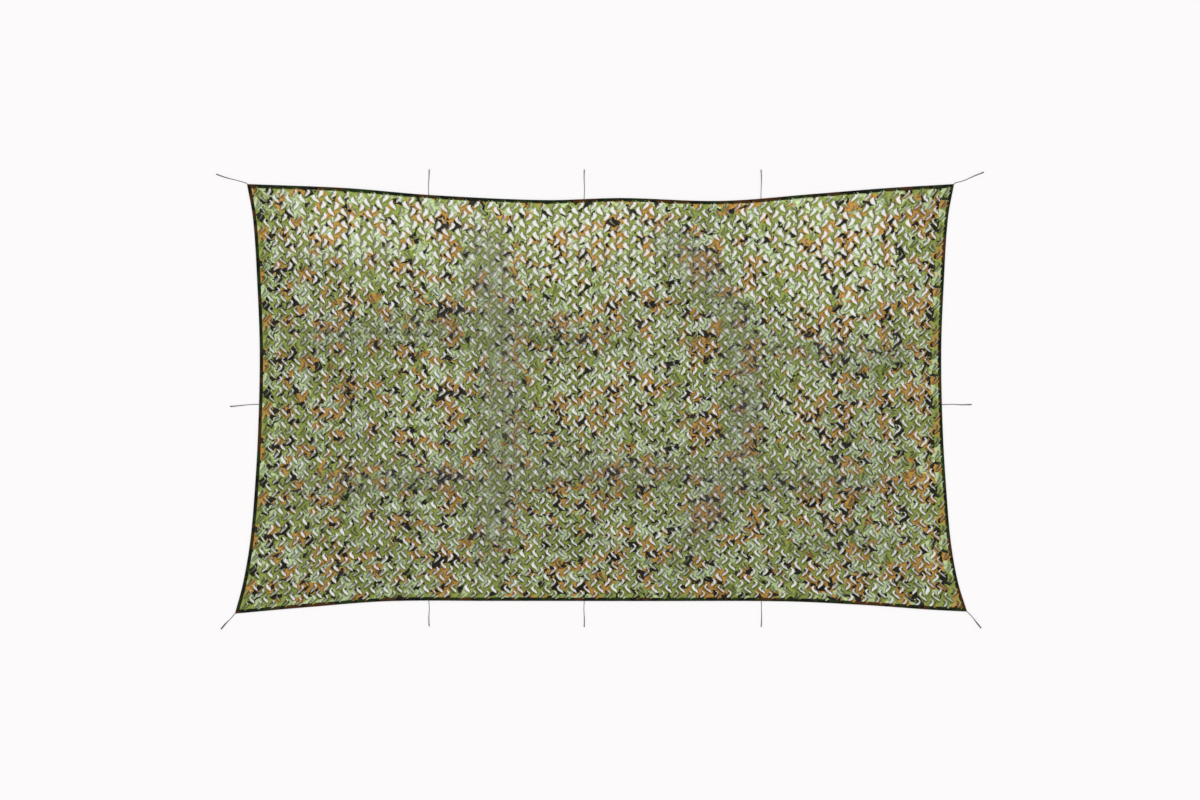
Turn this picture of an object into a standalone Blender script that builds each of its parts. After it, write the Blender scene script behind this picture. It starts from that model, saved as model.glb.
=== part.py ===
"""Camouflage net of about 5 x 3 m, laid out flat on the ground, with a bound edge and twelve ties.

The net's long edges run along X and its short edges along Y. Z points up from the ground that the net
lies on. The origin is on the ground, under the middle of the net. Units are metres.
"""

import math

import bmesh
import bpy
from mathutils import Vector

# Thicknesses and widths
CLOTH_THICKNESS = 0.003  # the cut cloth, with its leaves lying over one another
TAPE_THICKNESS = 0.0015  # one layer of the binding tape
BINDING_WIDTH = 0.025  # from the folded edge to the stitched edge
CLEARANCE = 0.0003  # between two pieces that meet
CLOTH_INSET = 0.003  # from the binding's folded edge to the cloth's own edge, inside the fold
BINDING_FOLD_CHAMFER = 0.0012
BINDING_THICKNESS = 2 * TAPE_THICKNESS + CLOTH_THICKNESS + 2 * CLEARANCE
CORD_DIAMETER = 0.004

# The net's plan. The four corners are drawn out by the corner ties, and each edge bows in between them.
NET_LENGTH = 5.0  # nominal, along X
NET_WIDTH = 3.0  # nominal, along Y
CORNERS = {
    "top_left": Vector((-2.478, 1.503)),
    "top_right": Vector((2.471, 1.503)),
    "bottom_left": Vector((-2.562, -1.503)),
    "bottom_right": Vector((2.562, -1.489)),
}

# How far each edge bows in from the straight line between its corners.
# Columns: share of the way along the edge, distance in.
# Top and bottom run from left to right, and left and right from top to bottom.
EDGE_BOWS = {
    "top": (
        (0.00, 0.000),
        (0.14, 0.028),
        (0.26, 0.077),
        (0.42, 0.112),
        (0.53, 0.098),
        (0.67, 0.118),
        (0.80, 0.070),
        (0.90, 0.030),
        (1.00, 0.000),
    ),
    "bottom": (
        (0.00, 0.000),
        (0.10, 0.044),
        (0.21, 0.084),
        (0.35, 0.084),
        (0.55, 0.080),
        (0.75, 0.075),
        (0.86, 0.048),
        (0.95, 0.014),
        (1.00, 0.000),
    ),
    "left": (
        (0.00, 0.000),
        (0.08, 0.049),
        (0.22, 0.089),
        (0.39, 0.122),
        (0.58, 0.126),
        (0.74, 0.111),
        (0.84, 0.090),
        (0.93, 0.050),
        (1.00, 0.000),
    ),
    "right": (
        (0.00, 0.000),
        (0.08, 0.050),
        (0.22, 0.090),
        (0.39, 0.125),
        (0.58, 0.131),
        (0.74, 0.116),
        (0.84, 0.098),
        (0.93, 0.058),
        (1.00, 0.000),
    ),
}
# The corners that each edge runs between, and the direction in which it bows.
EDGES = {
    "top": ("top_left", "top_right", Vector((0, -1))),
    "bottom": ("bottom_left", "bottom_right", Vector((0, 1))),
    "left": ("top_left", "bottom_left", Vector((1, 0))),
    "right": ("top_right", "bottom_right", Vector((-1, 0))),
}

# The soft rolls that stand up where the net was folded for its bag. Each follows a curved line.
# Columns: start, point it bends towards, end, half width, height.
ROLLS = (
    ((-0.90, 1.34), (-0.50, 0.15), (-0.82, -1.30), 0.26, 0.038),
    ((0.24, 1.32), (1.72, 0.22), (0.40, -1.26), 0.25, 0.032),
    ((-2.32, 0.36), (-1.05, 0.60), (0.20, 0.40), 0.20, 0.021),
    ((1.00, 0.46), (1.60, 0.22), (2.32, 0.34), 0.19, 0.018),
    ((-2.36, -0.66), (-0.20, -0.40), (2.36, -0.62), 0.21, 0.023),
    ((-2.22, 1.06), (-1.75, 0.82), (-1.35, 1.12), 0.19, 0.012),
    ((1.35, -1.06), (1.75, -0.84), (2.18, -1.10), 0.19, 0.013),
    ((-0.30, 1.12), (0.02, 0.90), (0.22, 1.02), 0.17, 0.010),
)
ROLL_SAMPLES = 24  # points along a roll's line
ROLL_BLEND = 3.0  # how sharply one roll gives way to a higher one that it meets
ROLL_END = 0.18  # share of a roll's line over which each end sinks
ROLL_END_HEIGHT = 0.25  # share of the height that is left at its very end
LEVEL_CUT = 0.001  # what is lower than this lies flat on the ground
EDGE_FLAT = 0.07  # next to the binding no roll stands up
EDGE_RISE = 0.28  # the rolls have their full height this far in

# The net cloth's grid
GRID_COLUMNS = 46
GRID_ROWS = 28
BAND_END = 0.032  # the cloth is level inside the binding up to here
FLAT_START = 0.062  # and lies on the ground from here on

# The ties. Columns: edge, share along it, route from the root as (x, y) steps away from it.
# A corner tie's share is 0 or 1, so its root is the net's corner.
TIES = {
    "tie_corner_top_left": ("top", 0.0, ((-0.070, 0.026), (-0.146, 0.045), (-0.217, 0.070))),
    "tie_corner_top_right": ("top", 1.0, ((0.072, 0.026), (0.142, 0.057), (0.210, 0.084))),
    "tie_corner_bottom_left": ("bottom", 0.0, ((-0.030, -0.036), (-0.066, -0.071), (-0.098, -0.109))),
    "tie_corner_bottom_right": ("bottom", 1.0, ((0.035, -0.036), (0.067, -0.077), (0.098, -0.116))),
    "tie_top_1": ("top", 0.257, ((-0.002, 0.060), (0.002, 0.122), (0.004, 0.180))),
    "tie_top_2": ("top", 0.477, ((0.002, 0.070), (-0.001, 0.142), (0.000, 0.208))),
    "tie_top_3": ("top", 0.727, ((0.001, 0.068), (0.003, 0.138), (0.000, 0.204))),
    "tie_bottom_1": ("bottom", 0.265, ((0.002, -0.060), (-0.001, -0.122), (0.001, -0.182))),
    "tie_bottom_2": ("bottom", 0.477, ((-0.002, -0.060), (0.001, -0.124), (0.000, -0.184))),
    "tie_bottom_3": ("bottom", 0.719, ((0.001, -0.062), (0.002, -0.122), (-0.001, -0.182))),
    "tie_left": ("left", 0.513, ((-0.068, -0.002), (-0.138, -0.009), (-0.204, -0.015))),
    "tie_right": ("right", 0.516, ((0.070, 0.002), (0.142, -0.001), (0.210, 0.001))),
}
TIE_ROOT_GAP = 0.0005  # the cord's end face stands this far off the binding
TIE_STRAIGHT = 0.010  # the cord leaves the fold square to the edge for this length
TIE_FALL = 0.035  # and is down on the ground after this length
TIE_STEP = 2.6 * CORD_DIAMETER
TIE_SAMPLES = 200  # short steps by which a tie's length is measured
CORNER_SHARES = (0.0, 1.0)
NORMAL_STEP = 0.01  # share along an edge over which its direction is read
# The knot at a tie's free end. Columns: distance back from the cord's tip, swelling of the cord.
KNOT = ((0.0200, 1.0), (0.0170, 1.7), (0.0140, 2.0), (0.0105, 1.8), (0.0075, 1.0), (0.0, 1.1))
GROUND_GAP = 0.00005  # keeps a cord's facets from dipping into the ground

# Colours as linear red, green and blue
PRINT_GREEN = (0.17, 0.22, 0.07)
BINDING_GREEN = (0.04, 0.06, 0.025)
CORD_GREY = (0.10, 0.11, 0.08)
CLOTH_ROUGHNESS = 0.75
CORD_ROUGHNESS = 0.85


def clear_scene():
    for obj in list(bpy.data.objects):
        bpy.data.objects.remove(obj, do_unlink=True)


def material(name, colour, roughness):
    """A plain Principled material without metal."""
    made = bpy.data.materials.new(name)
    made.use_nodes = True
    shader = made.node_tree.nodes["Principled BSDF"]
    shader.inputs["Base Color"].default_value = (*colour, 1)
    shader.inputs["Roughness"].default_value = roughness
    shader.inputs["Metallic"].default_value = 0
    made.diffuse_color = (*colour, 1)
    return made


def smooth(share):
    """0 to 1 with level ends."""
    share = min(max(share, 0.0), 1.0)
    return share * share * (3 - 2 * share)


def curve_through(points, share):
    """The point at this share of the way along a smooth curve through evenly timed points."""
    last = len(points) - 1
    place = min(max(share, 0.0), 1.0) * last
    i = min(int(place), last - 1)
    t = place - i
    before = points[i - 1] if i > 0 else 2 * points[0] - points[1]
    after = points[i + 2] if i + 2 <= last else 2 * points[last] - points[last - 1]
    start, end = points[i], points[i + 1]
    squared = 2 * before - 5 * start + 4 * end - after
    cubed = 3 * (start - end) + after - before
    return start + 0.5 * (t * (end - before) + t**2 * squared + t**3 * cubed)


def bow(edge, share):
    """How far the edge has bowed in at this share of the way along it."""
    rows = EDGE_BOWS[edge]
    last = len(rows) - 1
    i = 0
    while i < last - 1 and share > rows[i + 1][0]:
        i += 1
    slopes = []
    for j in (i, i + 1):
        low, high = rows[max(j - 1, 0)], rows[min(j + 1, last)]
        slopes.append((high[1] - low[1]) / (high[0] - low[0]))
    step = rows[i + 1][0] - rows[i][0]
    t = (share - rows[i][0]) / step
    return (
        rows[i][1] * (2 * t**3 - 3 * t**2 + 1)
        + rows[i + 1][1] * (3 * t**2 - 2 * t**3)
        + step * slopes[0] * (t**3 - 2 * t**2 + t)
        + step * slopes[1] * (t**3 - t**2)
    )


def edge_point(edge, share):
    """A point on the net's outline."""
    start, end, inward = EDGES[edge]
    return CORNERS[start].lerp(CORNERS[end], share) + inward * bow(edge, share)


def net_point(along, up):
    """The place on the plan of a point of the cut net, in metres from its left and bottom edges.

    It blends the four outlines, so an inset from an edge stays an inset all along it.
    """
    u, v = along / NET_LENGTH, up / NET_WIDTH
    between_long = edge_point("bottom", u).lerp(edge_point("top", u), v)
    between_short = edge_point("left", 1 - v).lerp(edge_point("right", 1 - v), u)
    bottom = CORNERS["bottom_left"].lerp(CORNERS["bottom_right"], u)
    top = CORNERS["top_left"].lerp(CORNERS["top_right"], u)
    return between_long + between_short - bottom.lerp(top, v)


def roll_line(start, bend, end):
    """Points along a roll's line, with the share of the way along it."""
    line = []
    for i in range(ROLL_SAMPLES + 1):
        t = i / ROLL_SAMPLES
        x = (1 - t) ** 2 * start[0] + 2 * t * (1 - t) * bend[0] + t * t * end[0]
        y = (1 - t) ** 2 * start[1] + 2 * t * (1 - t) * bend[1] + t * t * end[1]
        line.append((x, y, t))
    return line


ROLL_LINES = [roll_line(*row[:3]) for row in ROLLS]


def roll_height(x, y):
    """How high the cloth's underside stands off the ground on the rolls."""
    total = 0.0
    for line, (_, _, _, half_width, height) in zip(ROLL_LINES, ROLLS):
        distance, t = min((math.hypot(x - px, y - py), t) for px, py, t in line)
        if distance >= half_width:
            continue
        across = 0.5 + 0.5 * math.cos(math.pi * distance / half_width)
        ends = smooth(t / ROLL_END) * smooth((1 - t) / ROLL_END)
        along = ROLL_END_HEIGHT + (1 - ROLL_END_HEIGHT) * ends
        total += (height * across * along) ** ROLL_BLEND
    return max(total ** (1 / ROLL_BLEND) - LEVEL_CUT, 0.0)


def inset_of(along, up):
    """The distance to the nearest edge of the cut net."""
    return min(along, NET_LENGTH - along, up, NET_WIDTH - up)


def cloth_underside(along, up):
    """A point of the cloth's underside."""
    plan = net_point(along, up)
    inset = inset_of(along, up)
    in_binding = (TAPE_THICKNESS + CLEARANCE) * smooth((FLAT_START - inset) / (FLAT_START - BAND_END))
    rolls = roll_height(plan.x, plan.y) * smooth((inset - EDGE_FLAT) / (EDGE_RISE - EDGE_FLAT))
    return Vector((plan.x, plan.y, in_binding + rolls))


def grid_stations(length, cells):
    """Distances along the cut net: close together at its ends, and even between."""
    ends = [CLOTH_INSET, BAND_END]
    inner = [FLAT_START + (length - 2 * FLAT_START) * i / cells for i in range(cells + 1)]
    return ends + inner + [length - distance for distance in reversed(ends)]


def new_object(name, mesh, finish):
    obj = bpy.data.objects.new(name, mesh)
    bpy.context.scene.collection.objects.link(obj)
    obj.data.materials.append(finish)
    return obj


def build_net_cloth(finish):
    """One closed sheet: the underside on the ground and its rolls, and the top one thickness above."""
    columns = grid_stations(NET_LENGTH, GRID_COLUMNS)
    rows = grid_stations(NET_WIDTH, GRID_ROWS)
    bm = bmesh.new()
    under = [[bm.verts.new(cloth_underside(a, b)) for a in columns] for b in rows]
    for low, high in zip(under, under[1:]):
        for i in range(len(columns) - 1):
            bm.faces.new((low[i], low[i + 1], high[i + 1], high[i]))
    raised = bmesh.ops.extrude_face_region(bm, geom=bm.faces[:])["geom"]
    top = [item for item in raised if isinstance(item, bmesh.types.BMVert)]
    bmesh.ops.translate(bm, verts=top, vec=(0, 0, CLOTH_THICKNESS))
    bmesh.ops.recalc_face_normals(bm, faces=bm.faces[:])
    mesh = bpy.data.meshes.new("net_sheet")
    bm.to_mesh(mesh)
    bm.free()
    mesh.shade_smooth()
    return new_object("net_sheet", mesh, finish)


def binding_section():
    """The folded tape's section, as (distance in from the edge, height) round its outside and its slot."""
    chamfer, height, tape = BINDING_FOLD_CHAMFER, BINDING_THICKNESS, TAPE_THICKNESS
    return (
        (BINDING_WIDTH, 0),
        (chamfer, 0),
        (0, chamfer),
        (0, height - chamfer),
        (chamfer, height),
        (BINDING_WIDTH, height),
        (BINDING_WIDTH, height - tape),
        (tape, height - tape),
        (tape, tape),
        (BINDING_WIDTH, tape),
    )


def along_edge(edge, distance, inset):
    """The plan point at a distance along an edge of the cut net and an inset from that edge."""
    places = {
        "top": (distance, NET_WIDTH - inset),
        "bottom": (distance, inset),
        "left": (inset, distance),
        "right": (NET_LENGTH - inset, distance),
    }
    return net_point(*places[edge])


def build_binding(edge, finish):
    """Tape folded over one edge of the cloth, with a mitre at each end."""
    length, cells = (NET_LENGTH, GRID_COLUMNS) if edge in ("top", "bottom") else (NET_WIDTH, GRID_ROWS)
    middle = grid_stations(length, cells)[2:-2]
    section = binding_section()
    mitre_gap = CLEARANCE * math.sqrt(0.5)  # along the edge, so the two mitres stand CLEARANCE apart
    bm = bmesh.new()
    rings = []
    for distance in [None, *middle, None]:
        ring = []
        for inset, height in section:
            at = distance
            if distance is None:
                at = inset + mitre_gap if not rings else length - inset - mitre_gap
            plan = along_edge(edge, at, inset)
            ring.append(bm.verts.new((plan.x, plan.y, height)))
        rings.append(ring)
    for ring, following in zip(rings, rings[1:]):
        for i in range(len(section)):
            j = (i + 1) % len(section)
            bm.faces.new((ring[i], ring[j], following[j], following[i]))
    bm.faces.new(rings[0])
    bm.faces.new(rings[-1])
    bmesh.ops.recalc_face_normals(bm, faces=bm.faces[:])
    name = f"binding_{edge}"
    mesh = bpy.data.meshes.new(name)
    bm.to_mesh(mesh)
    bm.free()
    return new_object(name, mesh, finish)


def outward_at(edge, share):
    """The direction square to the outline, away from the net. At a corner it runs between both edges."""
    if share in CORNER_SHARES:
        corner = edge_point(edge, share)
        return Vector((math.copysign(1, corner.x), math.copysign(1, corner.y))).normalized()
    along = edge_point(edge, share + NORMAL_STEP) - edge_point(edge, share - NORMAL_STEP)
    across = Vector((-along.y, along.x)).normalized()
    return across if across.dot(EDGES[edge][2]) < 0 else -across


def tie_line(edge, share, steps):
    """The tie's centreline, as (point, swelling) pairs from its root to its tip."""
    outward = outward_at(edge, share)
    root = edge_point(edge, share)
    plan = [root + outward * TIE_ROOT_GAP, root + outward * (TIE_ROOT_GAP + TIE_STRAIGHT)]
    plan += [root + Vector(step) for step in steps]
    lengths = [0.0]
    fine = [curve_through(plan, i / TIE_SAMPLES) for i in range(TIE_SAMPLES + 1)]
    for a, b in zip(fine, fine[1:]):
        lengths.append(lengths[-1] + (b - a).length)
    total = lengths[-1]
    knot = [(total - back, swelling) for back, swelling in KNOT]
    count = round(knot[0][0] / TIE_STEP)
    stations = [(knot[0][0] * i / count, 1.0) for i in range(count)] + knot
    line = []
    for distance, swelling in stations:
        i = max(j for j in range(TIE_SAMPLES) if lengths[j] <= distance)
        t = (distance - lengths[i]) / (lengths[i + 1] - lengths[i])
        place = fine[i].lerp(fine[i + 1], min(t, 1.0))
        lying = swelling * CORD_DIAMETER / 2 + GROUND_GAP
        held = 1 - smooth(distance / TIE_FALL)
        height = lying + (BINDING_THICKNESS / 2 - lying) * held
        line.append((Vector((place.x, place.y, height)), swelling))
    return line


def build_tie(name, row, finish):
    """A cord as a round tube that swells into the knot at its free end."""
    line = tie_line(*row)
    curve = bpy.data.curves.new(name, "CURVE")
    curve.dimensions = "3D"
    curve.bevel_depth = CORD_DIAMETER / 2
    curve.bevel_resolution = 2
    curve.use_fill_caps = True
    spline = curve.splines.new("POLY")
    spline.points.add(len(line) - 1)
    for point, (place, swelling) in zip(spline.points, line):
        point.co = (*place, 1)
        point.radius = swelling
    spline.use_smooth = True
    return new_object(name, curve, finish)


def main():
    clear_scene()
    build_net_cloth(material("net_cloth", PRINT_GREEN, CLOTH_ROUGHNESS))
    for edge in EDGES:
        build_binding(edge, material(f"binding_{edge}", BINDING_GREEN, CLOTH_ROUGHNESS))
    for name, row in TIES.items():
        build_tie(name, row, material(name, CORD_GREY, CORD_ROUGHNESS))


main()
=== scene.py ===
"""The looks of the camouflage net: leaf-cut printed cloth, a folded and stitched edge tape, and twelve ties.

X runs along the net's long edges, Y along its short edges, and Z up from the ground. Units are metres.
A point's cut place is where it lay on the cloth before the net was opened out: its distance along from
the left edge and up from the bottom edge.
"""

import math

import bpy
import numpy as np
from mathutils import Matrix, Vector


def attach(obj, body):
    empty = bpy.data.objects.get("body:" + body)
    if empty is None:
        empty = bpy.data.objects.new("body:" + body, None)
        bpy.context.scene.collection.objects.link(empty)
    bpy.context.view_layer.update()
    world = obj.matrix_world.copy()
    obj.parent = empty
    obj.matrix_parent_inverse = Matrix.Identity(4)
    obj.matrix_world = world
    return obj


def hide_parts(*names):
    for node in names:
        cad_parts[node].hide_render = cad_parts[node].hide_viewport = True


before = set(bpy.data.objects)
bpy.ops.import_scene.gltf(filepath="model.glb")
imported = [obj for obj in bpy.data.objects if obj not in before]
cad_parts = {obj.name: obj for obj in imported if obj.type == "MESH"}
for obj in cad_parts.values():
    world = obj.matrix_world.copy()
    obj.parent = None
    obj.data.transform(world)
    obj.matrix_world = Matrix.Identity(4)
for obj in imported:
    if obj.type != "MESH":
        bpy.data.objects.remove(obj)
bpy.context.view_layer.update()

# ---------- the net's plan, as its solids have it

CLOTH_THICKNESS = 0.003
TAPE_THICKNESS = 0.0015
CLEARANCE = 0.0003
CLOTH_INSET = 0.003
BINDING_THICKNESS = 2 * TAPE_THICKNESS + CLOTH_THICKNESS + 2 * CLEARANCE
CORD_DIAMETER = 0.004
NET_LENGTH = 5.0
NET_WIDTH = 3.0
CORNERS = {
    "top_left": (-2.478, 1.503),
    "top_right": (2.471, 1.503),
    "bottom_left": (-2.562, -1.503),
    "bottom_right": (2.562, -1.489),
}
# How far each edge bows in between its corners. Rows: share of the way along the edge, distance in.
EDGE_BOWS = {
    "top": (
        (0.00, 0.14, 0.26, 0.42, 0.53, 0.67, 0.80, 0.90, 1.00),
        (0.000, 0.028, 0.077, 0.112, 0.098, 0.118, 0.070, 0.030, 0.000),
    ),
    "bottom": (
        (0.00, 0.10, 0.21, 0.35, 0.55, 0.75, 0.86, 0.95, 1.00),
        (0.000, 0.044, 0.084, 0.084, 0.080, 0.075, 0.048, 0.014, 0.000),
    ),
    "left": (
        (0.00, 0.08, 0.22, 0.39, 0.58, 0.74, 0.84, 0.93, 1.00),
        (0.000, 0.049, 0.089, 0.122, 0.126, 0.111, 0.090, 0.050, 0.000),
    ),
    "right": (
        (0.00, 0.08, 0.22, 0.39, 0.58, 0.74, 0.84, 0.93, 1.00),
        (0.000, 0.050, 0.090, 0.125, 0.131, 0.116, 0.098, 0.058, 0.000),
    ),
}
# The corners that each edge runs between, and the direction in which it bows.
EDGES = {
    "top": ("top_left", "top_right", (0, -1)),
    "bottom": ("bottom_left", "bottom_right", (0, 1)),
    "left": ("top_left", "bottom_left", (1, 0)),
    "right": ("top_right", "bottom_right", (-1, 0)),
}
# The soft rolls. Columns: start, point it bends towards, end, half width, height.
ROLLS = (
    ((-0.90, 1.34), (-0.50, 0.15), (-0.82, -1.30), 0.26, 0.038),
    ((0.24, 1.32), (1.72, 0.22), (0.40, -1.26), 0.25, 0.032),
    ((-2.32, 0.36), (-1.05, 0.60), (0.20, 0.40), 0.20, 0.021),
    ((1.00, 0.46), (1.60, 0.22), (2.32, 0.34), 0.19, 0.018),
    ((-2.36, -0.66), (-0.20, -0.40), (2.36, -0.62), 0.21, 0.023),
    ((-2.22, 1.06), (-1.75, 0.82), (-1.35, 1.12), 0.19, 0.012),
    ((1.35, -1.06), (1.75, -0.84), (2.18, -1.10), 0.19, 0.013),
    ((-0.30, 1.12), (0.02, 0.90), (0.22, 1.02), 0.17, 0.010),
)
ROLL_SAMPLES = 96
ROLL_BLEND = 3.0
ROLL_END = 0.18
ROLL_END_HEIGHT = 0.25
LEVEL_CUT = 0.001
EDGE_FLAT = 0.07
EDGE_RISE = 0.28
BAND_END = 0.032
FLAT_START = 0.062


def smooth(share):
    """0 to 1 with level ends."""
    share = np.clip(share, 0.0, 1.0)
    return share * share * (3 - 2 * share)


def even_shares(count):
    """This many even steps from 0, short of 1."""
    return np.arange(count) / count


def between(start, end, share):
    """Points that share of the way from start to end, for an array of shares."""
    share = np.asarray(share)[..., None]
    return np.asarray(start) * (1 - share) + np.asarray(end) * share


def bow(edge, share):
    """How far the edge has bowed in at each share of the way along it."""
    places, depths = np.array(EDGE_BOWS[edge])
    last = len(places) - 1
    low, high = np.maximum(np.arange(last + 1) - 1, 0), np.minimum(np.arange(last + 1) + 1, last)
    slopes = (depths[high] - depths[low]) / (places[high] - places[low])
    i = np.searchsorted(places[1:last], share, side="left")
    step = places[i + 1] - places[i]
    t = (share - places[i]) / step
    return (
        depths[i] * (2 * t**3 - 3 * t**2 + 1)
        + depths[i + 1] * (3 * t**2 - 2 * t**3)
        + step * slopes[i] * (t**3 - 2 * t**2 + t)
        + step * slopes[i + 1] * (t**3 - t**2)
    )


def edge_point(edge, share):
    """Points on the net's outline."""
    start, end, inward = EDGES[edge]
    return between(CORNERS[start], CORNERS[end], share) + np.asarray(inward) * bow(edge, share)[..., None]


def net_point(along, up):
    """The places on the plan of points of the cut net."""
    u, v = along / NET_LENGTH, up / NET_WIDTH
    wide, tall = u[..., None], v[..., None]
    between_long = edge_point("bottom", u) * (1 - tall) + edge_point("top", u) * tall
    between_short = edge_point("left", 1 - v) * (1 - wide) + edge_point("right", 1 - v) * wide
    bottom = between(CORNERS["bottom_left"], CORNERS["bottom_right"], u)
    top = between(CORNERS["top_left"], CORNERS["top_right"], u)
    return between_long + between_short - bottom * (1 - tall) - top * tall


def roll_height(plan):
    """How high the cloth stands off the ground on the rolls, at each point of the plan."""
    total = np.zeros(len(plan))
    t = np.linspace(0, 1, ROLL_SAMPLES + 1)[:, None]
    for start, bend, end, half_width, height in ROLLS:
        line = (1 - t) ** 2 * np.array(start) + 2 * t * (1 - t) * np.array(bend) + t * t * np.array(end)
        near = np.flatnonzero(
            ((plan > line.min(0) - half_width) & (plan < line.max(0) + half_width)).all(1)
        )
        apart = np.hypot(plan[near, 0, None] - line[:, 0], plan[near, 1, None] - line[:, 1])
        nearest = apart.argmin(1)
        distance = np.minimum(apart[np.arange(len(near)), nearest], half_width)
        along = t[nearest, 0]
        across = 0.5 + 0.5 * np.cos(np.pi * distance / half_width)
        ends = smooth(along / ROLL_END) * smooth((1 - along) / ROLL_END)
        total[near] += (height * across * (ROLL_END_HEIGHT + (1 - ROLL_END_HEIGHT) * ends)) ** ROLL_BLEND
    return np.maximum(total ** (1 / ROLL_BLEND) - LEVEL_CUT, 0.0)


def from_end(place, length):
    """The distance to the nearer end of a length."""
    return np.minimum(place, length - place)


def inset_of(along, up):
    """The distance to the nearest edge of the cut net."""
    return np.minimum(from_end(along, NET_LENGTH), from_end(up, NET_WIDTH))


def cloth_middle(along, up):
    """Points half way through the cloth, for points of the cut net."""
    plan = net_point(along, up)
    inset = inset_of(along, up)
    in_binding = (TAPE_THICKNESS + CLEARANCE) * smooth((FLAT_START - inset) / (FLAT_START - BAND_END))
    rolls = roll_height(plan) * smooth((inset - EDGE_FLAT) / (EDGE_RISE - EDGE_FLAT))
    return np.column_stack([plan, in_binding + rolls + CLOTH_THICKNESS / 2])


# ---------- camera, light and floor

VIEW_WIDTH = 8.4  # metres across the view
VIEW_CENTRE = (-0.007, -0.00875)
LENS = 85.0
SENSOR = 36.0
CLIP_END = 200.0
FLOOR_SIZE = 60.0
FLOOR_COLOUR = (0.850, 0.843, 0.884)
SKY_COLOUR = (1.0, 0.98, 0.88, 1)
SKY_STRENGTH = 0.52
SUN_STRENGTH = 2.20
SUN_SPREAD = math.radians(24)
SUN_FROM = (-0.10, 0.48, 1.0)


def new_object(name, data):
    made = bpy.data.objects.new(name, data)
    bpy.context.scene.collection.objects.link(made)
    return made


def build_camera():
    camera = new_object("camera", bpy.data.cameras.new("camera"))
    camera.data.lens = LENS
    camera.data.sensor_width = SENSOR
    camera.data.clip_end = CLIP_END
    camera.location = (*VIEW_CENTRE, VIEW_WIDTH * LENS / SENSOR)
    bpy.context.scene.camera = camera


def build_light():
    world = bpy.data.worlds.new("studio")
    world.use_nodes = True
    sky = world.node_tree.nodes["Background"].inputs
    sky["Color"].default_value = SKY_COLOUR
    sky["Strength"].default_value = SKY_STRENGTH
    bpy.context.scene.world = world
    sun = new_object("sun", bpy.data.lights.new("sun", "SUN"))
    sun.data.energy = SUN_STRENGTH
    sun.data.angle = SUN_SPREAD
    sun.rotation_euler = Vector(SUN_FROM).to_track_quat("Z", "Y").to_euler()
    bpy.context.scene.view_settings.view_transform = "Standard"


# ---------- materials


class Shading:
    """Adds nodes to a node tree and joins them up."""

    def __init__(self, tree):
        self.tree = tree

    def fill(self, inputs, values):
        """Gives inputs, by name or number, a socket to link or a value."""
        for name, value in values.items():
            if isinstance(value, bpy.types.NodeSocket):
                self.tree.links.new(value, inputs[name])
            else:
                inputs[name].default_value = value

    def add(self, kind, values, **settings):
        """A node with its settings, and with these values in its inputs."""
        node = self.tree.nodes.new(kind)
        for name, value in settings.items():
            setattr(node, name, value)
        self.fill(node.inputs, values)
        return node

    def math(self, operation, *values):
        node = self.add("ShaderNodeMath", dict(enumerate(values)), operation=operation)
        return node.outputs[0]

    def plus(self, first, second):
        return self.math("ADD", first, second)

    def times(self, first, second):
        return self.math("MULTIPLY", first, second)

    def vector(self, operation, *values):
        node = self.add("ShaderNodeVectorMath", dict(enumerate(values)), operation=operation)
        return node.outputs[0]

    def mix(self, share, first, second, blend="MIX"):
        values = {"Factor": share, 6: first, 7: second}
        node = self.add("ShaderNodeMix", values, data_type="RGBA", blend_type=blend)
        return node.outputs[2]

    def noise(self, place, scale, detail=2.0, roughness=0.5):
        values = {"Vector": place, "Scale": scale, "Detail": detail, "Roughness": roughness}
        return self.add("ShaderNodeTexNoise", values).outputs["Fac"]

    def ramp(self, value, low, high):
        """0 below low and 1 above high, and straight between."""
        values = {"Value": value, "From Min": low, "From Max": high}
        return self.add("ShaderNodeMapRange", values).outputs["Result"]

    def patches(self, place, scale, detail, roughness, low, high):
        """Noise as patches: 0 where it is below low and 1 where it is above high."""
        return self.ramp(self.noise(place, scale, detail, roughness), low, high)

    def group(self, tree, values):
        return self.add("ShaderNodeGroup", values, node_tree=tree).outputs

    def parts(self, vector):
        """The three parts of a vector."""
        return self.add("ShaderNodeSeparateXYZ", {0: vector}).outputs

    def carried(self, attribute, kind="Vector"):
        """What a piece's vertices carry under this name."""
        node = self.add("ShaderNodeAttribute", {}, attribute_type="GEOMETRY", attribute_name=attribute)
        return node.outputs[kind]

    def shaded(self, colour, shade):
        """The colour times a grey."""
        grey = self.add("ShaderNodeCombineColor", {0: shade, 1: shade, 2: shade}).outputs[0]
        return self.mix(1.0, colour, grey, "MULTIPLY")

    def bump(self, height, strength, distance):
        values = {"Strength": strength, "Distance": distance, "Height": height}
        return self.add("ShaderNodeBump", values).outputs["Normal"]


# A print: its blots to the metre, its four colours, and how high the noise is where each blot starts.
NET_PRINT = {
    "Blots": 13.0,
    "Ground": (0.368, 0.460, 0.250, 1),
    "Leaf": (0.196, 0.242, 0.050, 1),
    "Earth": (0.36, 0.20, 0.040, 1),
    "Dark": (0.0075, 0.0062, 0.0022, 1),
    "Leaf Level": 0.465,
    "Earth Level": 0.550,
    "Dark Level": 0.563,
}
TAPE_PRINT = {
    "Blots": 9.0,
    "Ground": (0.011, 0.025, 0.004, 1),
    "Leaf": (0.004, 0.008, 0.002, 1),
    "Earth": (0.052, 0.018, 0.003, 1),
    "Dark": (0.002, 0.002, 0.003, 1),
    "Leaf Level": 0.5,
    "Earth Level": 0.54,
    "Dark Level": 0.57,
}
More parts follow.
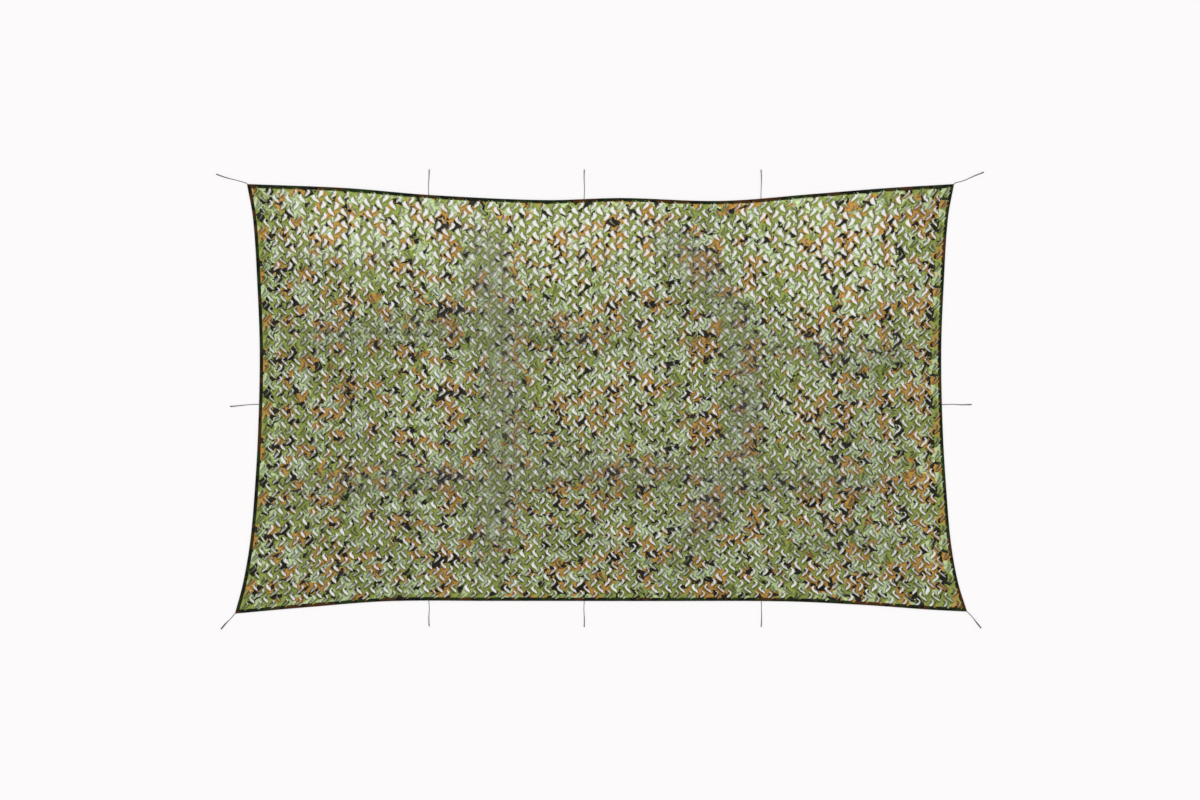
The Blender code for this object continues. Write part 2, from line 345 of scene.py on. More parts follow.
# Columns: blot, shift of its noise, stretch along the net, size next to Blots, share taken from the blot
# before, which puts the dark blots beside the earth-coloured ones.
BLOTS = (
    ("Leaf", (0.0, 0.0, 0.0), 1.0, 0.80, 0.0),
    ("Earth", (7.3, 1.1, 2.9), 0.9, 0.66, 0.0),
    ("Dark", (3.7, 5.2, 8.1), 0.9, 1.35, 0.22),
)
BLOT_DETAIL = 2.0
BLOT_ROUGHNESS = 0.55
BLOT_EDGE = 0.008  # rise of the noise across a blot's edge
PRINT_REPEAT = 0.62  # metres up the cloth
STIR_SCALE = 16.0
STIR_REACH = 0.05  # metres by which the blots are stirred

WEAVE_THREADS = 1400.0  # to the metre
TAPE_THREADS = 900.0
WEAVE_NOISE = (260.0, 3.0)  # scale, detail
WEAVE_UNEVEN = 0.6  # next to the height of a thread
WEAVE_SHADE = (0.86, 0.2)  # between the threads, and more on top of them
CLOTH_BUMP = (0.35, 0.0006)  # strength, height
TAPE_BUMP = (0.5, 0.0008)
CORD_BUMP = (0.7, 0.0005)

BEHIND_SHARE = 0.40  # how far the print is dulled on the back of the cloth
BEHIND_COLOUR = (0.30, 0.28, 0.09, 1)
ROLL_PAINTED_SHADE = 0.34  # how far painted shade greys the cloth that the rolls lift
ROLL_SHADE_COLOUR = (0.075, 0.080, 0.078, 1)
CUT_EDGE_PALER = 0.45  # how far the cloth is made paler towards the cut edges
CUT_EDGE_COLOUR = (0.52, 0.52, 0.33, 1)
CREASE_PAINTED_SHADE = 0.85  # how much painted shade darkens a crease and a leaf's tip
DRAWN_PALER = 0.60  # how much paler the cloth is where it is drawn wide open
HANDLED = (3.0, 4.0, 0.6, 0.2, 0.8)  # patches: scale, detail, roughness, low, high
CRUMPLED = (48.0, 2.0, 0.5, 0.3, 0.7)
CLOTH_SHADE = (0.68, 0.16, 0.44)  # at its darkest, and more where it is handled and where it is crumpled
HANDLED_SHINE = (-1.0, 2.2)  # ends of the ramp that makes a roughness of the handling

TAPE_RUBBED = (30.0, 4.0, 0.6, 0.5, 0.75)  # patches
TAPE_WEAR = 0.12
TAPE_WORN = (0.06, 0.075, 0.04, 1)

PLAIT_TURNS = 8.0  # ridges round the cord
PLAIT_PITCH = 420.0  # ridges to the metre
PLAIT_SHADE = (0.45, 0.6)  # between the ridges, and more on them
FIBRE_SCALE = (40.0, 900.0, 1.0)  # round the cord, along it, and by darkness
CORD_COLOURS = ((0.022, 0.025, 0.017, 1), (0.06, 0.065, 0.045, 1))
CORD_SOIL = (0.004, 0.005, 0.004, 1)
THREAD_SCALE = 900.0
THREAD_COLOURS = ((0.012, 0.02, 0.008, 1), (0.05, 0.07, 0.03, 1))


def new_group(name, inputs, outputs):
    """A node group with named sockets, each a (name, kind) row or (name, kind, value). Returns (its nodes, its
    inputs)."""
    tree = bpy.data.node_groups.new(name, "ShaderNodeTree")
    for side, rows in (("INPUT", inputs), ("OUTPUT", outputs)):
        for label, kind, *value in rows:
            socket = tree.interface.new_socket(label, in_out=side, socket_type=f"NodeSocket{kind}")
            if value:
                socket.default_value = value[0]
    return Shading(tree), tree.nodes.new("NodeGroupInput").outputs


def camouflage_print_group():
    """Blots of three colours on a ground colour. The print repeats up the cloth."""
    inputs = [("Place", "Vector"), ("Repeat", "Float", PRINT_REPEAT), ("Blots", "Float"), ("Ground", "Color")]
    inputs += [(row[0], "Color") for row in BLOTS] + [(f"{row[0]} Level", "Float") for row in BLOTS]
    make, given = new_group("camouflage_print", inputs, [("Colour", "Color")])
    place = make.parts(given["Place"])
    turn = make.math("DIVIDE", make.times(place[1], 2 * math.pi), given["Repeat"])
    radius = make.math("DIVIDE", given["Repeat"], 2 * math.pi)
    round_it = [make.times(make.math(wave, turn), radius) for wave in ("COSINE", "SINE")]
    wrapped = make.add("ShaderNodeCombineXYZ", {0: place[0], 1: round_it[0], 2: round_it[1]}).outputs[0]
    stir = make.add("ShaderNodeTexNoise", {"Vector": wrapped, "Scale": STIR_SCALE, "Detail": 1.0})
    stir = make.vector("SUBTRACT", stir.outputs["Color"], (0.5,) * 3)
    moved = make.vector("MULTIPLY", stir, (STIR_REACH,) * 3)
    stirred = make.vector("ADD", wrapped, moved)
    colour = given["Ground"]
    blots = None
    for name, shift, stretch, size, taken in BLOTS:
        shifted = make.vector("ADD", make.vector("MULTIPLY", stirred, (stretch, 1.0, 1.0)), shift)
        own = make.noise(shifted, make.times(given["Blots"], size), BLOT_DETAIL, BLOT_ROUGHNESS)
        blots = make.plus(make.times(own, 1 - taken), make.times(blots, taken)) if taken else own
        level = given[f"{name} Level"]
        mask = make.ramp(blots, level, make.plus(level, BLOT_EDGE))
        colour = make.mix(mask, colour, given[name])
    make.add("NodeGroupOutput", {"Colour": colour})
    return make.tree


def woven_cloth_group():
    """Plain weave: the height of its threads, and how much it darkens between them."""
    inputs = [("Place", "Vector"), ("Threads per Metre", "Float", WEAVE_THREADS)]
    make, given = new_group("woven_cloth", inputs, [("Height", "Float"), ("Shade", "Float")])
    place = make.parts(given["Place"])
    turns = [make.times(make.times(place[axis], given["Threads per Metre"]), math.pi) for axis in (0, 1)]
    ridges = [make.math("ABSOLUTE", make.math("SINE", turn)) for turn in turns]
    height = make.times(*ridges)
    uneven = make.times(make.noise(given["Place"], *WEAVE_NOISE), WEAVE_UNEVEN)
    shade = make.plus(WEAVE_SHADE[0], make.times(height, WEAVE_SHADE[1]))
    make.add("NodeGroupOutput", {"Height": make.plus(height, uneven), "Shade": shade})
    return make.tree


def new_material(name):
    made = bpy.data.materials.new(name)
    made.use_nodes = True
    return made, Shading(made.node_tree), made.node_tree.nodes["Principled BSDF"].inputs


def net_cloth_material(print_group, weave_group):
    """Printed cloth. Its vertices carry their cut place, how far the rolls have raised them, and marks:
    (painted crease shade, nearness to a cut edge where the cloth is made paler, how far the cloth is drawn
    open)."""
    made, make, shader = new_material("net_cloth")
    place = make.carried("cut_place")
    marks = make.parts(make.carried("marks"))
    pattern = make.group(print_group, {"Place": place, **NET_PRINT})[0]
    weave = make.group(weave_group, {"Place": place})
    behind = make.add("ShaderNodeNewGeometry", {}).outputs["Backfacing"]
    colour = make.mix(behind, pattern, make.mix(BEHIND_SHARE, pattern, BEHIND_COLOUR))
    # Painted shade: the cloth that the rolls lift is greyed.
    colour = make.mix(make.times(make.carried("raised", "Fac"), ROLL_PAINTED_SHADE), colour, ROLL_SHADE_COLOUR)
    colour = make.mix(make.times(make.math("POWER", marks[1], 2.0), CUT_EDGE_PALER), colour, CUT_EDGE_COLOUR)
    handled = make.patches(place, *HANDLED)
    crumpled = make.patches(place, *CRUMPLED)
    least, by_handling, by_crumpling = CLOTH_SHADE
    worn = make.plus(make.plus(least, make.times(handled, by_handling)), make.times(crumpled, by_crumpling))
    # Painted shade: the creases beside the cuts and the leaves towards their tips are darkened.
    crease_shade = make.math("SUBTRACT", 1.0, make.times(marks[0], CREASE_PAINTED_SHADE))
    drawn = make.plus(1.0, make.times(marks[2], DRAWN_PALER))
    shade = make.times(make.times(worn, weave["Shade"]), make.times(crease_shade, drawn))
    make.fill(shader, {
        "Base Color": make.shaded(colour, shade),
        "Roughness": make.ramp(handled, *HANDLED_SHINE),
        "Normal": make.bump(weave["Height"], *CLOTH_BUMP),
        "Sheen Weight": 0.05,
        "Specular IOR Level": 0.15,
    })
    return made


def binding_tape_material(print_group, weave_group):
    made, make, shader = new_material("binding_tape")
    place = make.carried("cut_place")
    pattern = make.group(print_group, {"Place": place, **TAPE_PRINT})[0]
    weave = make.group(weave_group, {"Place": place, "Threads per Metre": TAPE_THREADS})
    rubbed = make.times(make.patches(place, *TAPE_RUBBED), TAPE_WEAR)
    make.fill(shader, {
        "Base Color": make.shaded(make.mix(rubbed, pattern, TAPE_WORN), weave["Shade"]),
        "Roughness": 0.8,
        "Normal": make.bump(weave["Height"], *TAPE_BUMP),
        "Specular IOR Level": 0.15,
    })
    return made


def tie_cord_material():
    """Braided cord. Its vertices carry (turns round the cord, distance along it, darkness)."""
    made, make, shader = new_material("tie_cord")
    place = make.carried("cord_place")
    turns, along, dark = make.parts(place)
    ridges = []
    for hand in (PLAIT_TURNS, -PLAIT_TURNS):
        turn = make.plus(make.times(turns, hand), make.times(along, PLAIT_PITCH))
        ridges.append(make.math("ABSOLUTE", make.math("SINE", make.times(turn, math.pi))))
    plaits = make.math("MAXIMUM", *ridges)
    fibres = make.noise(make.vector("MULTIPLY", place, FIBRE_SCALE), 1.0, 3.0, 0.6)
    colour = make.mix(dark, make.mix(fibres, *CORD_COLOURS), CORD_SOIL)
    shade = make.plus(PLAIT_SHADE[0], make.times(plaits, PLAIT_SHADE[1]))
    make.fill(shader, {
        "Base Color": make.shaded(colour, shade),
        "Roughness": 0.85,
        "Normal": make.bump(plaits, *CORD_BUMP),
    })
    return made


def thread_material():
    made, make, shader = new_material("sewing_thread")
    tone = make.noise(make.carried("cut_place"), THREAD_SCALE)
    make.fill(shader, {"Base Color": make.mix(tone, *THREAD_COLOURS), "Roughness": 0.55})
    return made


def floor_material():
    made, make, shader = new_material("floor")
    make.fill(shader, {"Base Color": (*FLOOR_COLOUR, 1), "Roughness": 0.9, "Specular IOR Level": 0.1})
    return made


# ---------- making meshes


def new_piece(name, points, faces, finish, carried):
    """A mesh object that rides on the root body. carried is what its vertices carry, numbers or vectors."""
    mesh = bpy.data.meshes.new(name)
    mesh.from_pydata(np.asarray(points).tolist(), [], faces)
    mesh.shade_smooth()
    mesh.materials.append(finish)
    for attribute, values in carried.items():
        values = np.asarray(values, np.float32)
        kind, field = ("FLOAT_VECTOR", "vector") if values.ndim == 2 else ("FLOAT", "value")
        mesh.attributes.new(attribute, kind, "POINT").data.foreach_set(field, values.ravel())
    obj = new_object(name, mesh)
    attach(obj, "root")
    return obj


def skin(rings, sides, ends=True):
    """The faces of a tube whose points come ring by ring, with a face across each end."""
    faces = [
        (i * sides + k, i * sides + (k + 1) % sides, (i + 1) * sides + (k + 1) % sides, (i + 1) * sides + k)
        for i in range(rings - 1)
        for k in range(sides)
    ]
    last = (rings - 1) * sides
    return faces + [tuple(range(sides))[::-1], tuple(range(last, last + sides))] if ends else faces


# ---------- the leaf-cut cloth

COLUMNS = 54  # repeats of the cuts along the net
ROWS = 34
PANELS = 4  # the cloth is made as this many meshes, side by side
CLOTH_SEED = 20
JOIN_STEPS = 1000  # points are one if they are at the same thousandth of a segment
PITCH = np.array([(NET_LENGTH - 2 * CLOTH_INSET) / COLUMNS, (NET_WIDTH - 2 * CLOTH_INSET) / ROWS])
SIDE_SEGMENTS = 5  # along each side of a cell
ROUND = 4 * SIDE_SEGMENTS  # points round a cell, and so round its cut and hinge
FOOT_SEGMENTS = 2  # from the cell's south corner back to the side point nearest to the leaf's foot
CUT_SEGMENTS = 12  # along the curved cut
HINGE_SEGMENTS = ROUND - CUT_SEGMENTS
RING_LAYERS = 2  # from the side of the cell to the cut
LEAF_ROWS = 5  # from a leaf's hinge to its tip
# A cell is a diamond whose two right-hand sides sag, so that it takes in the leaf's foot.
SIDE_SAG = 0.0145
SAG_DIRECTION = np.array([0.68, -0.73])
# One leaf that opens to the left, from the middle of its cell. Every second row has its mirror image.
HINGE_FOOT = np.array([0.0228, -0.0325])
HINGE_HEAD = np.array([0.0005, 0.0335])
LEAF_DEPTH = 0.0225  # from the heel to the leaf's tip, if that were sharp
LEAF_HEEL = 0.0050  # and of the heels at its two ends
HEEL_BLUNT = 0.3  # lower is blunter
LEAF_TIP = 0.79  # share of the way up the hinge at which it is deepest
LEAF_SHARP = 6.0  # higher is a sharper tip
LEAF_LIES = 5.0  # higher leaves less of the leaf beside its tip lying over
CUT_BELOW_TIP = 8  # how many of the cut's segments run up to the leaf's tip
HINGE_BELOW_TIP = 6
GAPE_BLUNT = 0.45  # lower lets the cut gape nearer to its two ends
GAPE_NEAR = 1.5  # higher keeps the gaping nearer to the cut
CREASE_SHADE_FADE = (1.6, 0.1, 0.85)  # of the painted shade along the crease beside a cut: strength, start, span
COMPASS = np.array([(0, -1), (-1, 0), (0, 1), (1, 0)])  # to a cell's south, west, north and east corners
CELL_CORNERS = dict(zip("swne", COMPASS / 2))

# How a leaf and its slot lie where the net is slack and where it is drawn wide open: (slack, open)
SLOT_GAP = (0.0050, 0.0083)  # how far the curved cut gapes
SLOT_LIFT = (0.0020, 0.0040)
HINGE_GAP = (0.0, 0.0042)  # how far the strand behind the hinge draws back
HINGE_LIFT = (0.0010, 0.0050)
HINGE_FOLD = (0.08, 0.50)  # radians that the leaf is folded up where it is deepest
LEAF_STANDS = (1.35, 1.55)  # and away from there, where it stands nearly upright
LEAF_CURL = (0.95, 2.30)  # radians from hinge to tip
HEIGHT_SOFT = 0.040  # cloth higher than this over the ground is pressed down
HEIGHT_SPARE = 0.010  # and never gets this far above it
LEAF_UNEVEN = 0.22  # share by which leaves differ
LEAF_TWIST = 0.25  # radians
STRAND_RISE = 0.0045  # the strand between two rows is humped
NODE_SHIFT = 0.0022  # how far the crossings of the strands stand off the even lattice
NODE_LIFT = (0.0030, 0.0130)  # least and most
EDGE_FADE = 0.16  # the lattice is true at the edge, and fully uneven this far in

# Where the net is drawn open. Columns: x, y, reach along x, reach along y, amount.
OPEN_SPOTS = (
    (-1.58, 1.29, 0.80, 0.46, 1.00),
    (-0.11, 1.22, 0.62, 0.52, 0.95),
    (1.60, 1.18, 0.70, 0.58, 1.00),
    (-1.30, 0.13, 0.35, 0.35, 0.25),
    (0.06, 0.17, 0.65, 0.33, 0.30),
    (1.39, 0.10, 0.25, 0.30, 0.25),
)
OPEN_EVERYWHERE = 0.14
OPEN_UNEVEN = 0.12
ROLL_OPENS = 0.25  # a roll draws the cuts on it open
ROLL_HIGH = 0.030
SIDE_CLOSES = 0.70  # the cuts are closed at the short edges, and free this far in
SIDE_LEFT = 0.22  # share of that way that they have gone at the edge itself
SIDE_PALER = 0.45  # and the cloth there looks as pale as where it is this wide open
# The leaves beside an edge stay down in their cuts, and so do a few elsewhere.
FREE_ALONG = 0.14
FREE_UP = 0.075
FREE_UNEVEN = 0.12
STUCK = 0.07  # share of the leaves
STUCK_FREE = 0.35
LEAST_FREE = 0.05
STUCK_GAP = 0.3  # share of its gap that a leaf has when it is not free at all
SLACK_TWIST = 0.3  # share of its twist that a leaf has in slack cloth
OPEN_CREASE_SHADE = 0.5  # share of its painted crease shade that a strand loses in wide open cloth

# Slow waves that draw the lattice out of true. Columns: waves per metre along and up, phase, size.
DRIFT_ALONG = (
    (0.7, 1.3, 0.4, 0.0045), (1.9, 0.6, 2.1, 0.0034), (1.1, 3.1, 5.0, 0.0030), (3.3, 2.2, 1.2, 0.0018),
)
DRIFT_UP = (
    (1.2, 0.8, 1.7, 0.0045), (0.5, 2.3, 3.9, 0.0034), (2.7, 1.4, 0.3, 0.0030), (1.6, 3.7, 4.4, 0.0018),
)
# And slow waves that lift the cloth.
RIPPLE = (
    (2.1, 1.2, 0.9, 0.0012), (1.3, 4.1, 2.7, 0.0010), (4.6, 2.3, 4.1, 0.0008), (3.9, 5.2, 5.6, 0.0006),
)
RIPPLE_RISE = 0.001


# How high a hump is along a side of a cell, at each of the side's points but its last.
SIDE_HUMP = np.sin(np.pi * even_shares(SIDE_SEGMENTS))


def waves(table, along, up):
    return sum(size * np.sin(2 * np.pi * (a * along + b * up) + phase) for a, b, phase, size in table)


def lerp(ends, share):
    return ends[0] + (ends[1] - ends[0]) * share


def cell_middle(centre):
    """The cut place of a cell's middle, from its centre in half repeats."""
    return centre * PITCH / 2 + CLOTH_INSET


def corner_shifts(centre, shifts):
    """How far a cell's four corners stand off the even lattice."""
    at = np.clip(centre[..., None, :] + COMPASS, 0, (2 * COLUMNS, 2 * ROWS))
    return shifts[at[..., 0], at[..., 1]]


def side_line(start, end):
    """The points along one side of a cell between two of its corners, but for the last: (even, sagging)."""
    even = between(CELL_CORNERS[start] * PITCH, CELL_CORNERS[end] * PITCH, even_shares(SIDE_SEGMENTS))
    sag = SIDE_SAG * SIDE_HUMP[:, None] * SAG_DIRECTION
    if {start, end} == {"n", "e"}:
        return even, even + sag * np.array([-1, 1])
    if {start, end} == {"e", "s"}:
        return even, even + sag
    return even, even


class LeafCell:
    """The points and faces of one cell of the cloth, about its middle, with its leaf opening to the left."""

    def __init__(self):
        sides = [side_line(a, b) for a, b in ("sw", "wn", "ne", "es")]
        even, rim = (np.roll(np.concatenate(line), FOOT_SEGMENTS, axis=0) for line in zip(*sides))
        hinge = HINGE_HEAD - HINGE_FOOT
        self.across = np.array([-hinge[1], hinge[0]]) / np.hypot(*hinge)
        on_cut = even_shares(CUT_SEGMENTS)
        cut_rise = np.interp(on_cut, [0, CUT_BELOW_TIP / CUT_SEGMENTS, 1], [0, LEAF_TIP, 1])
        below_tip = HINGE_BELOW_TIP / HINGE_SEGMENTS
        rise = np.interp(even_shares(HINGE_SEGMENTS), [0, below_tip, 1], [0, LEAF_TIP, 1])
        arc = between(HINGE_FOOT, HINGE_HEAD, cut_rise) + self.across * self.depth(cut_rise)[:, None]
        down = np.append(1.0, rise[:0:-1])
        cut = np.concatenate([arc, between(HINGE_FOOT, HINGE_HEAD, down)])
        steps = np.arange(RING_LAYERS + 1) / RING_LAYERS
        self.ring = between(rim, cut, steps[:, None]).reshape(-1, 2)
        ring_even = between(even, cut, steps[:, None]).reshape(-1, 2)
        # Which way the cut's two sides draw apart, and how much each point of the ring follows them.
        from_middle = arc - arc.mean(0)
        from_middle /= np.hypot(*from_middle.T)[:, None]
        outward = np.concatenate([from_middle, np.tile(-self.across, (HINGE_SEGMENTS, 1))])
        self.ring_outward = np.tile(outward, (len(steps), 1))
        along_cut = np.concatenate([np.sin(np.pi * on_cut) ** GAPE_BLUNT, np.zeros(HINGE_SEGMENTS)])
        along_hinge = np.concatenate([np.zeros(CUT_SEGMENTS), np.sin(np.pi * down)])
        self.on_arc = np.outer(steps**GAPE_NEAR, along_cut).ravel()
        self.on_hinge = np.outer(steps**GAPE_NEAR, along_hinge).ravel()
        # The strands on the left of the cell are humped along its sides, and get painted shade along a crease
        # beside the cut.
        hump = np.concatenate([SIDE_HUMP, SIDE_HUMP, np.zeros(ROUND // 2)])
        self.hump = np.append(np.roll(hump, FOOT_SEGMENTS), np.zeros(RING_LAYERS * ROUND))
        strength, start, span = CREASE_SHADE_FADE
        crease_shade = np.zeros(len(self.ring))
        beside = np.clip(strength * np.sin(np.pi * (on_cut + start) / span), 0, 1)
        crease_shade[ROUND : ROUND + CUT_SEGMENTS] = beside
        # The leaf's own points, column by column up the hinge and row by row out to its tip.
        self.leaf_rise = np.repeat(rise[1:], LEAF_ROWS)
        shares = np.tile(np.arange(1, LEAF_ROWS + 1) / LEAF_ROWS, HINGE_SEGMENTS - 1)
        self.leaf_length = np.repeat(self.depth(rise[1:]), LEAF_ROWS)
        self.leaf_lies = (self.leaf_length / self.leaf_length.max()) ** LEAF_LIES
        self.leaf_out = self.leaf_length * shares
        self.leaf_root = between(HINGE_FOOT, HINGE_HEAD, self.leaf_rise)
        leaf = self.leaf_root + self.across * self.leaf_out[:, None]
        self.flat = np.concatenate([self.ring, leaf])
        self.even = np.concatenate([ring_even, leaf])
        # The marks: painted crease shade, nearness to a cut edge where the cloth is made paler, and room for
        # how far the cloth is drawn open.
        self.marks = np.zeros((len(self.flat), 3))
        # Painted shade beside the cut, and on the leaf darker towards its tip.
        self.marks[:, 0] = np.concatenate([crease_shade, np.sqrt(shares)])
        self.marks[RING_LAYERS * ROUND : len(self.ring), 1] = along_cut
        self.faces = self.ring_faces() + self.leaf_faces()

    def depth(self, rise):
        """How far the leaf reaches from its hinge, with a blunt tip near its head."""
        up, down = rise / LEAF_TIP, (1 - rise) / (1 - LEAF_TIP)
        tip = up * down / (up**LEAF_SHARP + down**LEAF_SHARP) ** (1 / LEAF_SHARP)
        return LEAF_DEPTH * tip + LEAF_HEEL * np.sin(np.pi * rise) ** HEEL_BLUNT

    def ring_faces(self):
        return [
            (outer + k, outer + ROUND + k, outer + ROUND + (k + 1) % ROUND, outer + (k + 1) % ROUND)
            for outer in range(0, RING_LAYERS * ROUND, ROUND)
            for k in range(ROUND)
        ]

    def leaf_faces(self):
        cut, leaf = RING_LAYERS * ROUND, (RING_LAYERS + 1) * ROUND

        def point(column, row):
            if column == 0:
                return cut
            if column == HINGE_SEGMENTS:
                return cut + CUT_SEGMENTS
            return leaf - column if row == 0 else leaf + (column - 1) * LEAF_ROWS + row - 1

        return [
            tuple(dict.fromkeys((point(c, r), point(c + 1, r), point(c + 1, r + 1), point(c, r + 1))))
            for c in range(HINGE_SEGMENTS)
            for r in range(LEAF_ROWS)
        ]


def corner_weights(flat):
    """How much each point of a cell follows the cell's south, west, north and east corners."""
    x, y = (flat / (PITCH / 2)).T
    rest = np.clip(1 - np.abs(x) - np.abs(y), 0, 1) / 4
    return np.stack([np.maximum(part, 0) + rest for part in (-y, -x, y, x)], 1)


def off_the_sides(along):
    """0 at the short edges of the net, and 1 where they no longer hold the cuts closed."""
    return smooth(from_end(along, NET_LENGTH) / SIDE_CLOSES + SIDE_LEFT)


def openness(middles, rng):
    """How far the cut at each cell's middle is drawn open, from 0 to 1."""
    along, up = middles.T
    plan = net_point(along, up)
    amount = np.full(len(plan), OPEN_EVERYWHERE)
    for x, y, reach_x, reach_y, most in OPEN_SPOTS:
        amount += most * np.exp(-(((plan[:, 0] - x) / reach_x) ** 2) - ((plan[:, 1] - y) / reach_y) ** 2)
    amount += ROLL_OPENS * smooth(roll_height(plan) / ROLL_HIGH)
    amount *= off_the_sides(along)
    return np.clip(amount + rng.normal(0, OPEN_UNEVEN, len(plan)), 0, 1)


def freedom(middles, rng):
    """How far the leaf at each cell's middle is free to curl, up to 1."""
    along, up = middles.T
    free = smooth(from_end(along, NET_LENGTH) / FREE_ALONG)
    free *= smooth(from_end(up, NET_WIDTH) / FREE_UP)
    free *= np.where(rng.random(len(middles)) < STUCK, STUCK_FREE, 1)
    return np.clip(free + rng.normal(0, FREE_UNEVEN, len(middles)) * (free < 1), LEAST_FREE, 1)


def crossing_shifts(rng):
    """How far each crossing of the strands stands off the even lattice, by its place in half repeats."""
    shape = (2 * COLUMNS + 1, 2 * ROWS + 1)
    shifts = np.zeros((*shape, 3))
    shifts[..., :2] = rng.normal(0, NODE_SHIFT, (*shape, 2))
    shifts[..., 2] = rng.uniform(*NODE_LIFT, shape)
    along, up = (np.arange(count) * pitch / 2 for count, pitch in zip(shape, PITCH))
    inset = np.minimum(from_end(along, along[-1])[:, None], from_end(up, up[-1]))
    return shifts * smooth(inset / EDGE_FADE)[..., None]


def cell_places(centres, mirror, cell, shifts, rng):
    """The flat and the laid-out points of all cells of one kind. centres is in half repeats."""
    turn = np.array([-1.0, 1.0]) if mirror else np.array([1.0, 1.0])
    middles = cell_middle(centres)
    flat = middles[:, None] + cell.flat * turn
    drift = np.einsum("vc,ncd->nvd", corner_weights(cell.even * turn), corner_shifts(centres, shifts))

    count = len(centres)
    wide = openness(middles, rng)[:, None]
    uneven = 1 + rng.uniform(-LEAF_UNEVEN, LEAF_UNEVEN, (count, 4))
    free = freedom(middles, rng)[:, None]
    gap = lerp(SLOT_GAP, wide) * uneven[:, :1] * lerp((STUCK_GAP, 1), free)
    draw = lerp(HINGE_GAP, wide) * free
    lift = lerp(HINGE_LIFT, wide) * uneven[:, 1:2]
    fold = lerp(HINGE_FOLD, wide) * uneven[:, 2:3]
    curl = lerp(LEAF_CURL, wide) * uneven[:, 3:] * free
    twist = rng.normal(0, LEAF_TWIST, (count, 1)) * lerp((SLACK_TWIST, 1), wide)

    ring = len(cell.ring)
    spread = gap * cell.on_arc + draw * cell.on_hinge
    place = flat + drift[..., :2]
    place[:, :ring] += spread[..., None] * cell.ring_outward * turn
    height = drift[..., 2].copy()
    height[:, :ring] += lift * cell.on_hinge + lerp(SLOT_LIFT, wide) * cell.on_arc + STRAND_RISE * cell.hump
    # The leaf bends up about its hinge and curls over.
    rise, out = cell.leaf_rise, cell.leaf_out
    stands = lerp(LEAF_STANDS, wide)
    start = free * (stands + (fold - stands) * cell.leaf_lies + twist * (rise - 0.5))
    bend = curl / cell.leaf_length
    reach = (np.sin(start + bend * out) - np.sin(start)) / bend
    stand = (np.cos(start) - np.cos(start + bend * out)) / bend
    hinge_share = np.sin(np.pi * rise)
    rooted = reach - draw * hinge_share
    hinge = middles[:, None] + cell.leaf_root * turn + drift[:, ring:, :2]
    place[:, ring:] = hinge + rooted[..., None] * cell.across * turn
    height[:, ring:] += stand + lift * hinge_share
    marks = np.tile(cell.marks, (count, 1, 1))
    # Wide open cloth gets less painted crease shade.
    marks[..., 0] *= 1 - OPEN_CREASE_SHADE * wide
    marks[..., 2] = wide + SIDE_PALER * (1 - off_the_sides(middles[:, :1]))
    return flat, place, height, marks


def border_cells():
    """The half and quarter cells along the four edges, uncut. Rows: centre in half repeats, points, the points
    without the sag of the sides, humps."""
    rows = []
    for i in range(COLUMNS + 1):
        for j in range(ROWS + 1):
            inward_x, inward_y = (i == 0) - (i == COLUMNS), (j == 0) - (j == ROWS)
            if not inward_x and not inward_y:
                continue
            side_x, side_y = "e" if inward_x > 0 else "w", "n" if inward_y > 0 else "s"
            route = ("w", side_y, "e")
            if inward_x:
                route = (side_y, side_x) if inward_y else ("s", side_x, "n")
            fall = np.array([0, 1] if inward_x else [1, 0])
            last = CELL_CORNERS[route[-1]][None] * PITCH
            sides = [side_line(a, b) for a, b in zip(route, route[1:])] + [(last, last)]
            even, line = (np.concatenate(part) for part in zip(*sides))
            humps = np.concatenate([SIDE_HUMP * ("w" in pair) for pair in zip(route, route[1:])] + [[0.0]])
            steps = np.linspace(0, 1, RING_LAYERS + 1)
            spread = fall + (1 - fall) * steps[:, None]
            points, evened = ((part[:, None] * spread).reshape(-1, 2) for part in (line, even))
            rows.append(((2 * i, 2 * j), points, evened, (humps[:, None] * (steps == 1)).ravel()))
    return rows


def facing_up(face, flat):
    """The face, turned over if it faces down on the cut cloth."""
    x, y = flat[list(face)].T
    return face if x @ np.roll(y, -1) > y @ np.roll(x, -1) else face[::-1]


def build_net_cloth(finish):
    """The cloth with a leaf cut in every cell of its lattice, as panels side by side."""
    rng = np.random.default_rng(CLOTH_SEED)
    shifts = crossing_shifts(rng)
    cell = LeafCell()
    across, up = np.arange(COLUMNS + 1), np.arange(ROWS + 1)
    whole = np.array([(2 * i, 2 * j) for i in across[1:-1] for j in up[1:-1]])
    half = np.array([(2 * i + 1, 2 * j + 1) for i in across[:-1] for j in up[:-1]])
    on_leaf = np.arange(len(cell.flat)) >= len(cell.ring)
    batches = []
    for centres, mirror in ((whole, False), (half, True)):
        flat, place, height, marks = cell_places(centres, mirror, cell, shifts, rng)
        faces = [facing_up(face, flat[0]) for face in cell.faces]
        batches += [
            (centre[0], flat[n], place[n], height[n], on_leaf, marks[n], faces)
            for n, centre in enumerate(centres)
        ]
    width = RING_LAYERS + 1
    for centre, points, evened, humps in border_cells():
        drift = corner_weights(evened) @ corner_shifts(np.array(centre), shifts)
        flat = cell_middle(np.array(centre)) + points
        faces = [
            (k * width + s, k * width + s + 1, (k + 1) * width + s + 1, (k + 1) * width + s)
            for k in range(len(points) // width - 1)
            for s in range(RING_LAYERS)
        ]
        faces = [facing_up(face, flat) for face in faces]
        height = drift[:, 2] + STRAND_RISE * humps
        unmarked = np.zeros((len(flat), 3))
        batches.append((centre[0], flat, flat + drift[:, :2], height, unmarked[:, 0] > 0, unmarked, faces))

    bounds = np.linspace(0, 2 * COLUMNS + 1, PANELS + 1)
    panels = []
    for number in range(PANELS):
        chosen = [b for b in batches if bounds[number] <= b[0] < bounds[number + 1]]
        panels.append(build_panel(f"net_panel_{number + 1}", chosen, finish))
    return panels


